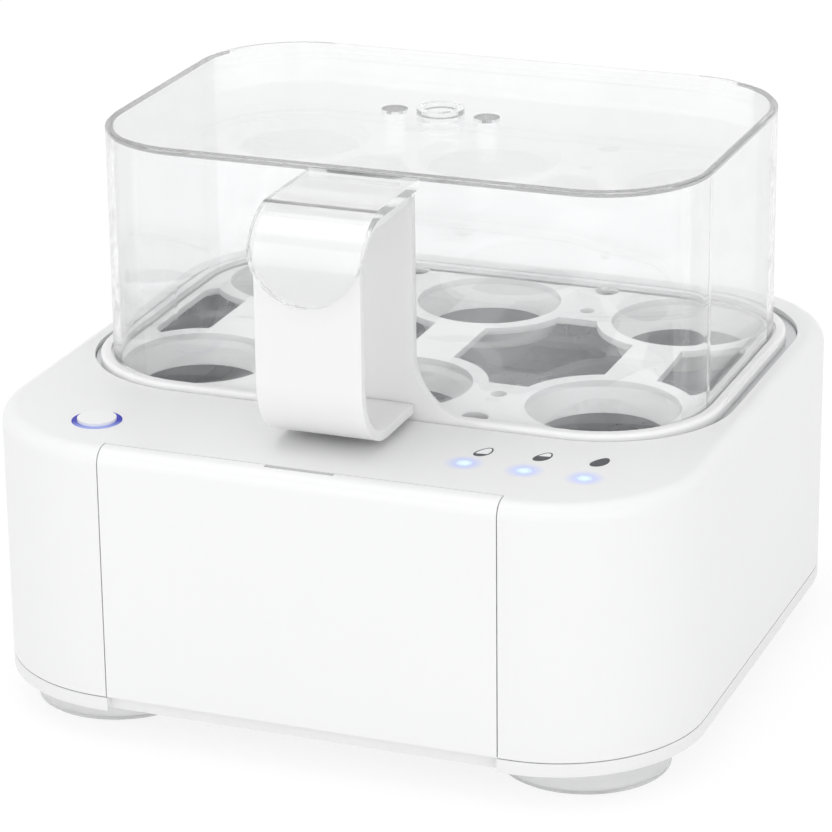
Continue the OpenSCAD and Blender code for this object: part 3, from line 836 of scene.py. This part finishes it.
@dataclass
class EggSign:
    """One egg pictogram printed on the deck, filled from its lower end."""

    name: str
    x: float
    y: float
    fill: float
    width: float = 3.8 * MM
    length: float = 6.2 * MM
    taper: float = 0.22
    line: float = 0.4 * MM
    lean: float = 0.2
    rise: float = 0.12
    deck: float = DECK
    proud: float = 0.06 * MM
    sunk: float = 0.02 * MM
    points: int = 48

    def outline(self, inset: float) -> list[tuple[float, float]]:
        """Draw the egg's outline.

        Args:
            inset: How far it is set in.

        Returns:
            Points round the egg, about its middle.
        """
        points = []
        for i in range(self.points):
            a = 2 * math.pi * i / self.points
            y = (self.length / 2 - inset) * math.sin(a)
            points.append(
                ((self.width / 2 - inset) * math.cos(a) * (1.0 - self.taper * math.sin(a)), y)
            )
        return points

    def unfilled(self) -> list[tuple[float, float]]:
        """Draw the outline of the part above the filling.

        Returns:
            Points round it, with those under the filling's level moved onto that level.
        """
        level = (self.fill - 0.5) * (self.length - 2 * self.line)
        narrowing = math.sqrt(max(0.0, 1 - (2 * level / self.length) ** 2))
        half = (self.width / 2 - self.line) * narrowing
        points = []
        for x, y in self.outline(self.line):
            if y > level:
                points.append((x, y))
            else:
                points.append((max(-half, min(half, x * 3)), level))
        return points

    def plate(self, points: list[tuple[float, float]], top: float) -> bpy.types.Object:
        """Make a thin plate by shaping a disc and extruding it.

        Args:
            points: The plate's outline about the sign's middle.
            top: Height of its top above the deck.

        Returns:
            The plate, in place.
        """
        deselect()
        bpy.ops.mesh.primitive_circle_add(
            vertices=len(points), radius=1.0, fill_type="NGON", location=ORIGIN
        )
        disc = bpy.context.active_object
        for vertex, (x, y) in zip(disc.data.vertices, points):
            vertex.co = (
                self.x + x + self.lean * y, self.y + y + self.rise * x, self.deck - self.sunk
            )
        edit_faces(disc, lambda face: True)
        up = (0.0, 0.0, top + self.sunk)
        bpy.ops.mesh.extrude_region_move(TRANSFORM_OT_translate={"value": up})
        bpy.ops.mesh.select_all(action="SELECT")
        bpy.ops.mesh.normals_make_consistent(inside=False)
        done_editing()
        return disc

    def ink(self, material: bpy.types.Material) -> bpy.types.Object:
        """Make the dark outline and the filled part.

        Args:
            material: The ink.

        Returns:
            The printed piece.
        """
        whole = self.plate(self.outline(0.0), self.proud)
        if self.fill < 1.0:
            cut_away(whole, self.plate(self.unfilled(), self.proud * 2))
        return settle(whole, self.name, material)

    def ground(self, material: bpy.types.Material) -> bpy.types.Object:
        """Make the white ground, half the line in and half as proud.

        Args:
            material: The white ink.

        Returns:
            The printed piece.
        """
        plate = self.plate(self.outline(self.line * 0.5), self.proud * 0.5)
        return settle(plate, self.name + "_ground", material)


@dataclass
class Controls:
    """The button's light ring, the status lamps and their signs."""

    button: Point = (-60.7 * MM, -68.2 * MM, DECK)
    ring_reach: float = 6.5 * MM
    ring_along: Point = (0.36, -0.93, 0.0)
    lamp_y: float = -65.4 * MM
    lamps: tuple[float, float, float] = (35.6 * MM, 50.8 * MM, 66.0 * MM)
    lamp_reach: float = 2.4 * MM
    diode_reach: float = 20 * MM
    glow_inner: float = 1.6 * MM
    glow_outer: float = 5.6 * MM
    glow_strength: float = 0.9
    signs: tuple[tuple[float, float], ...] = ((37.6, -57.0), (52.2, -55.3), (66.3, -54.2))
    fills: tuple[float, ...] = (0.24, 0.55, 1.0)

    def glow(self) -> tuple[Glow, ...]:
        """Return where the deck glows."""
        spread = (self.glow_inner, self.glow_outer, self.glow_strength)
        return tuple(((x, self.lamp_y, DECK), *spread) for x in self.lamps)

    def build(self, cad: Cad) -> None:
        """Dress the controls and make the egg signs.

        Args:
            cad: The CAD nodes.
        """
        for name, x in zip(("lens_soft", "lens_medium", "lens_hard"), self.lamps):
            lit = LitPlastic(
                name + "_lit", dim=(0.56, 0.67, 0.88), bright=(0.76, 0.95, 0.95),
                centre=(x, self.lamp_y, DECK), reach=self.lamp_reach, body=0.06,
            )
            cad.dress(lit, name)
        ring = LitPlastic(
            "ring_lit", dim=(0.012, 0.016, 0.36), bright=(0.33, 0.39, 0.76),
            centre=self.button, reach=self.ring_reach, along=self.ring_along, body=0.1,
        )
        cad.dress(ring, "light_ring")
        diodes = LitPlastic(
            "diode_lit", dim=(0.7, 0.75, 0.8), bright=(0.85, 0.9, 1.0),
            centre=(self.lamps[1], self.lamp_y, DECK), reach=self.diode_reach,
        )
        cad.dress(diodes, "status_leds")
        ink = Plastic("sign_ink", (0.075, 0.078, 0.085), 0.55, marks=0.1).build(cad.groups)
        ground = Plastic("sign_ground", (0.93, 0.93, 0.93), 0.5, marks=0.1).build(cad.groups)
        for name, (x, y), fill in zip(("soft", "medium", "hard"), self.signs, self.fills):
            sign = EggSign("egg_sign_" + name, x * MM, y * MM, fill)
            pieces = [sign.ink(ink)]
            if fill < 1.0:
                pieces.append(sign.ground(ground))
            for piece in pieces:
                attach(piece, "base")
                LOG.info("piece %s", piece.name)


@dataclass
class Housing:
    """The base: its shell, cover, feet and gland, and the drawer."""

    glow_at: tuple[Glow, ...]

    def build(self, cad: Cad) -> None:
        """Dress the base and its drawer.

        Args:
            cad: The CAD nodes.
        """
        cad.dress(
            Plastic("shell_white", (0.86, 0.862, 0.862), 0.42, glow_at=self.glow_at),
            "base_housing",
        )
        cad.dress(
            Plastic("front_white", (0.87, 0.872, 0.872), 0.3, depth=0.00001, marks=0.4),
            "drawer_front", "power_button",
        )
        cad.dress(
            Plastic("inner_white", (0.84, 0.842, 0.84), 0.45),
            "bottom_cover", "drawer_rails", "drawer_tray", "piercer_body",
        )
        cad.dress(
            ClearPlastic(
                "foot_silicone", (0.93, 0.935, 0.94), roughness=0.3, haze=0.45, leak=0.4
            ),
            "foot_front_left", "foot_front_right", "foot_rear_left", "foot_rear_right",
        )
        cad.dress(Plastic("gland_rubber", (0.62, 0.62, 0.62), 0.6, grain=1500.0), "cord_gland")
        cad.dress(Plastic("gasket_silicone", (0.16, 0.16, 0.17), 0.5, grain=1200.0), "pan_gasket")
        cad.dress(ClearPlastic("cup_clear", roughness=0.12, haze=0.22), "measuring_cup")


@dataclass
class Works:
    """What is inside the base."""

    pan_middle: Point = (0.0, 0.0166, 0.0)

    def build(self, cad: Cad) -> None:
        """Dress the inner parts.

        Args:
            cad: The CAD nodes.
        """
        cad.dress(Metal("pan_steel", (0.62, 0.63, 0.64), 0.22, 0.4), "heating_pan")
        cad.dress(
            Metal("zinc_steel", (0.66, 0.67, 0.68), 0.28, 0.45, Detail.SPUN, 1500.0),
            "pan_studs", "pan_nuts", "pan_bracket", "bracket_screws", "thermostat_clip",
            "clip_screws", "control_board_screws", "power_board_screws", "piercer_needle",
        )
        cad.dress(
            Metal(
                "cast_aluminium", (0.72, 0.72, 0.73), 0.4, 0.6, Detail.SPUN, 700.0,
                centre=self.pan_middle,
            ),
            "heat_spreader",
        )
        cad.dress(Metal("element_sheath", (0.45, 0.45, 0.46), 0.4, 0.6), "heating_element")
        cad.dress(
            Plastic("ceramic", (0.82, 0.78, 0.68), 0.55, grain=1200.0),
            "element_terminals", "thermostat",
        )
        cad.dress(Metal("fuse_brass", (0.8, 0.6, 0.28), 0.3, 0.45), "thermal_fuse")
        cad.dress(
            Plastic("black_plastic", (0.025, 0.025, 0.027), 0.4, grain=1600.0),
            "temperature_sensor", "switch_plunger", "tact_switch", "supply_capacitor", "buzzer",
        )
        cad.dress(Board("board_green"), "control_board", "power_board")
        cad.dress(Plastic("relay_blue", (0.03, 0.1, 0.5), 0.35), "relay")
        cad.dress(Plastic("capacitor_yellow", (0.8, 0.6, 0.08), 0.35), "filter_capacitor")
        cad.dress(Plastic("terminal_green", (0.03, 0.3, 0.1), 0.4), "terminal_block")


@dataclass
class CoverScrews:
    """The screws that hold the cover, with cross recesses in their heads."""

    places: tuple[tuple[float, float], ...] = (
        (-86.0, -20.0), (86.0, -20.0), (-28.0, 81.5), (28.0, 81.5)
    )
    head_low: float = 8.6
    head_r: float = 3.0
    head_h: float = 1.2
    head_edge: float = 0.35
    shank_r: float = 1.5
    shank_h: float = 9.2
    recess_long: float = 3.2
    recess_wide: float = 0.75
    recess_h: float = 1.4
    recess_under: float = 0.6
    recess_edge: float = 0.05

    def screw(self, x: float, y: float) -> bpy.types.Object:
        """Make one screw, head down.

        Args:
            x: Its place across, in millimetres.
            y: Its place in depth, in millimetres.

        Returns:
            The screw.
        """
        deselect()
        bpy.ops.mesh.primitive_cylinder_add(
            vertices=40, radius=self.head_r * MM, depth=self.head_h * MM,
            location=(x * MM, y * MM, (self.head_low + self.head_h / 2) * MM),
        )
        made = bpy.context.active_object
        edit_faces(made, lambda face: face.normal.z > 0.9)
        bpy.ops.mesh.inset(thickness=(self.head_r - self.shank_r) * MM)
        up = (0.0, 0.0, self.shank_h * MM)
        bpy.ops.mesh.extrude_region_move(TRANSFORM_OT_translate={"value": up})
        done_editing()
        edit_faces(made, lambda face: face.normal.z < -0.9 and len(face.vertices) > 8)
        bpy.ops.mesh.bevel(offset=self.head_edge * MM, segments=3, affect="EDGES")
        done_editing()
        set_in_mesh()
        low = (x, y, self.head_low - self.recess_under)
        for width, depth in (
            (self.recess_long, self.recess_wide), (self.recess_wide, self.recess_long)
        ):
            cut_away(made, moulded_block(low, (width, depth, self.recess_h), self.recess_edge))
        return made

    def build(self, cad: Cad) -> None:
        """Make the screws in the place of their plain node.

        Args:
            cad: The CAD nodes.
        """
        piece = join([self.screw(x, y) for x, y in self.places])
        finish = Metal("screw_zinc", (0.62, 0.63, 0.64), 0.3, 0.5, line_scale=2200.0)
        settle(piece, "cross_screws", finish.build(cad.groups))
        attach(piece, "base")
        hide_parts("cover_screws")
        LOG.info("piece %s", piece.name)


@dataclass
class CupMarks:
    """Raised filling marks on the measuring cup."""

    centre: tuple[float, float] = (-18.0, -46.9)
    low: float = 15.3
    height: float = 24.0
    low_r: float = 20.8
    top_r: float = 26.0
    levels: tuple[float, ...] = (8.0, 12.5, 17.0)
    reach: float = 0.86
    bead: float = 0.3

    def mark(self, level: float) -> bpy.types.Object:
        """Make one bead across the cup's front.

        Args:
            level: Its height over the cup's foot, in millimetres.

        Returns:
            The bead.
        """
        radius = self.low_r + (self.top_r - self.low_r) * level / self.height
        deselect()
        bpy.ops.mesh.primitive_torus_add(
            major_radius=radius * MM, minor_radius=self.bead * MM,
            major_segments=120, minor_segments=10,
            location=(self.centre[0] * MM, self.centre[1] * MM, (self.low + level) * MM),
        )
        made = set_in_mesh()
        edit_faces(made, lambda face: True)
        cut = (0.0, (self.centre[1] - self.reach * radius) * MM, 0.0)
        bpy.ops.mesh.bisect(
            plane_co=cut, plane_no=(0.0, 1.0, 0.0), use_fill=True, clear_outer=True
        )
        done_editing()
        return made

    def build(self, cad: Cad) -> None:
        """Make the marks on the cup.

        Args:
            cad: The CAD nodes.
        """
        piece = join([self.mark(level) for level in self.levels])
        finish = Plastic("mark_white", (0.8, 0.81, 0.82), 0.35)
        settle(piece, "cup_marks", finish.build(cad.groups))
        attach(piece, "drawer")
        LOG.info("piece %s", piece.name)


@dataclass
class BoardParts:
    """Small parts soldered on the two boards, in millimetres."""

    board_top: float = 65.0
    power_top: float = 21.6
    chip_lift: float = 0.2
    chip_edge: float = 0.15
    pin: Point = (0.45, 1.2, 0.3)
    pin_out: float = 0.5
    pin_edge: float = 0.06
    resistor: Point = (2.2, 1.2, 0.6)
    resistor_edge: float = 0.12
    pitch: float = 4.0

    def chip(self, name: str, at: Point, size: Point, pins: int, groups: Groups) -> None:
        """Make a chip with a row of pins on each long side.

        Args:
            name: The piece's name.
            at: The middle of its underside.
            size: The body's width, depth and height.
            pins: How many pins each long side has.
            groups: The shared node groups.
        """
        black = Plastic(name + "_black", (0.02, 0.02, 0.022), 0.45, grain=3000.0)
        tin = Metal(name + "_tin", (0.7, 0.71, 0.72), 0.25, 0.4, line_scale=3000.0)
        body = moulded_block((at[0], at[1], at[2] + self.chip_lift), size, self.chip_edge)
        settle(body, name, black.build(groups))
        legs = []
        for side in (-1, 1):
            for i in range(pins):
                x = at[0] + (i - (pins - 1) / 2) * size[0] / pins
                y = at[1] + side * (size[1] / 2 + self.pin_out)
                legs.append(moulded_block((x, y, at[2]), self.pin, self.pin_edge))
        pieces = [body, settle(join(legs), name + "_pins", tin.build(groups))]
        for piece, slot in zip(pieces, ("black_plastic", "steel")):
            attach(piece, "base")
            LOG.info("piece %s", piece.name)

    def build(self, cad: Cad) -> None:
        """Make the chips and the resistors.

        Args:
            cad: The CAD nodes.
        """
        top, power, groups = self.board_top, self.power_top, cad.groups
        self.chip("controller_chip", (-14.0, -61.0, top), (9.0, 6.0, 1.5), 8, groups)
        self.chip("driver_chip", (8.0, -60.0, top), (5.0, 4.0, 1.4), 4, groups)
        self.chip("supply_chip", (-13.0, 42.0, power), (5.0, 4.0, 1.4), 4, groups)
        rows = ((-34.0, -54.0, top, 7), (-34.0, -67.5, top, 7), (-28.0, 34.0, power, 4))
        spots = [(x + self.pitch * i, y, z) for x, y, z, count in rows for i in range(count)]
        pads = join([moulded_block(spot, self.resistor, self.resistor_edge) for spot in spots])
        finish = Plastic("resistor_ceramic", (0.09, 0.07, 0.06), 0.4)
        settle(pads, "board_resistors", finish.build(groups))
        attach(pads, "base")
        LOG.info("piece %s", pads.name)


@dataclass
class Upper:
    """The rack, its handle and the clear lid; the whites let some light in."""

    rack_inside: float = 0.4
    handle_inside: float = 0.5

    def build(self, cad: Cad) -> None:
        """Dress the rack and the lid.

        Args:
            cad: The CAD nodes.
        """
        # Rack and handle are one white plastic. The rack's white is painted lighter to offset the
        # shade in its rim and under the lid, and the handle's is painted darker to tone down its
        # brightly lit front.
        cad.dress(
            Plastic("rack_white_painted_light", (0.92, 0.92, 0.918), 0.36, inside=self.rack_inside), "egg_rack"
        )
        cad.dress(
            Plastic("handle_white_painted_shade", (0.84, 0.84, 0.839), 0.32, inside=self.handle_inside),
            "rack_handle",
        )
        cad.dress(ClearPlastic("lid_clear"), "clear_lid")


# --- studio -------------------------------------------------------------------


@dataclass(frozen=True)
class Lamp:
    """A soft square lamp: its side in metres and its power in watts."""

    name: str
    at: Point
    aim: Point
    size: float
    watts: float

    def build(self) -> None:
        """Hang the lamp and turn it to what it faces."""
        data = bpy.data.lights.new(self.name, "AREA")
        data.shape, data.size, data.energy = "SQUARE", self.size, self.watts
        lamp = bpy.data.objects.new(self.name, data)
        bpy.context.scene.collection.objects.link(lamp)
        lamp.location = self.at
        lamp.rotation_mode = "QUATERNION"
        lamp.rotation_quaternion = (Vector(self.aim) - Vector(self.at)).to_track_quat("-Z", "Y")


@dataclass
class Studio:
    """Floor, world, lamps and camera."""

    camera_at: Point = (0.3311, -0.8549, 0.4041)
    yaw: float = 0.371791
    elevation: float = 0.356530
    roll: float = -0.011336
    lens: float = 162.77
    sensor: float = 36.0
    ambient: float = 0.8
    floor_size: float = 12.0
    floor_z: float = -0.0002
    floor_white: float = 0.94
    floor_light: float = 1.04
    floor_share: float = 0.82
    lamps: tuple[Lamp, ...] = (
        Lamp("key", (-0.5, -1.4, 0.5), (0.0, 0.0, 0.06), 1.2, 3.4),
        Lamp("fill", (1.35, -0.9, 0.45), (0.0, 0.0, 0.06), 1.0, 4.2),
        Lamp("top", (-0.3, -0.1, 1.6), (0.0, 0.0, 0.1), 1.2, 5.2),
    )

    def world(self) -> None:
        """Make a world that is white where it is seen and plain where it lights."""
        world = bpy.data.worlds.new("studio")
        bpy.context.scene.world = world
        tree = fresh_tree(world)
        level = node(
            tree, "ShaderNodeMapRange", {"Value": self.seen(tree)},
            in_To_Min=self.ambient, in_To_Max=1.0,
        )
        back = node(tree, "ShaderNodeBackground", {"Strength": level.outputs[0]}, in_Color=WHITE)
        node(tree, "ShaderNodeOutputWorld", {"Surface": back.outputs[0]})

    @staticmethod
    def seen(tree: bpy.types.NodeTree) -> bpy.types.NodeSocket:
        """Find the rays that show the background.

        Args:
            tree: The node tree to add to.

        Returns:
            1 for a camera, glossy or transmission ray with no matte bounce, or else 0.
        """
        path = node(tree, "ShaderNodeLightPath")
        total = math_node(
            tree, "MAXIMUM", path.outputs["Is Camera Ray"], path.outputs["Is Glossy Ray"]
        )
        total = math_node(tree, "MAXIMUM", total, path.outputs["Is Transmission Ray"])
        matte = math_node(tree, "LESS_THAN", path.outputs["Diffuse Depth"], 0.5)
        return math_node(tree, "MULTIPLY", total, matte)

    def floor(self) -> None:
        """Make a wide pale floor that keeps the object's shadow."""
        deselect()
        bpy.ops.mesh.primitive_plane_add(size=self.floor_size, location=(0.0, 0.0, self.floor_z))
        plane = bpy.context.active_object
        plane.name = "studio_floor"
        material = bpy.data.materials.new("floor_white")
        tree = fresh_tree(material)
        white = (self.floor_white, self.floor_white, self.floor_white, 1.0)
        matte = node(tree, "ShaderNodeBsdfDiffuse", in_Color=white)
        bright = node(tree, "ShaderNodeEmission", in_Color=WHITE, in_Strength=self.floor_light)
        share = math_node(tree, "MULTIPLY", self.seen(tree), self.floor_share)
        out = node(tree, "ShaderNodeOutputMaterial")
        mix_shaders(tree, share, matte, bright, out)
        plane.data.materials.append(material)

    def camera(self) -> None:
        """Place the camera."""
        data = bpy.data.cameras.new("camera")
        data.lens, data.sensor_width = self.lens, self.sensor
        data.clip_start, data.clip_end = 0.05, 50.0
        camera = bpy.data.objects.new("camera", data)
        bpy.context.scene.collection.objects.link(camera)
        back = Vector((
            math.sin(self.yaw) * math.cos(self.elevation),
            -math.cos(self.yaw) * math.cos(self.elevation),
            math.sin(self.elevation),
        ))
        right = Vector((math.cos(self.yaw), math.sin(self.yaw), 0.0))
        up = back.cross(right)
        c, s = math.cos(self.roll), math.sin(self.roll)
        across, high = c * right + s * up, c * up - s * right
        turn = Matrix((across, high, back)).transposed().to_4x4()
        camera.matrix_world = Matrix.Translation(self.camera_at) @ turn
        bpy.context.scene.camera = camera

    def build(self) -> None:
        """Build the studio."""
        self.world()
        self.floor()
        for lamp in self.lamps:
            lamp.build()
        self.camera()
        bpy.context.scene.view_settings.view_transform = "Standard"


def main() -> None:
    """Load the frame, dress it and set up the studio."""
    logging.basicConfig(level=logging.INFO, format="%(name)s: %(message)s")
    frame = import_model()
    deselect()
    cad = Cad(frame["nodes"], Groups.build())
    controls = Controls()
    Housing(controls.glow()).build(cad)
    Works().build(cad)
    CoverScrews().build(cad)
    CupMarks().build(cad)
    BoardParts().build(cad)
    Upper().build(cad)
    controls.build(cad)
    Studio().build()


if __name__ == "__main__":
    main()
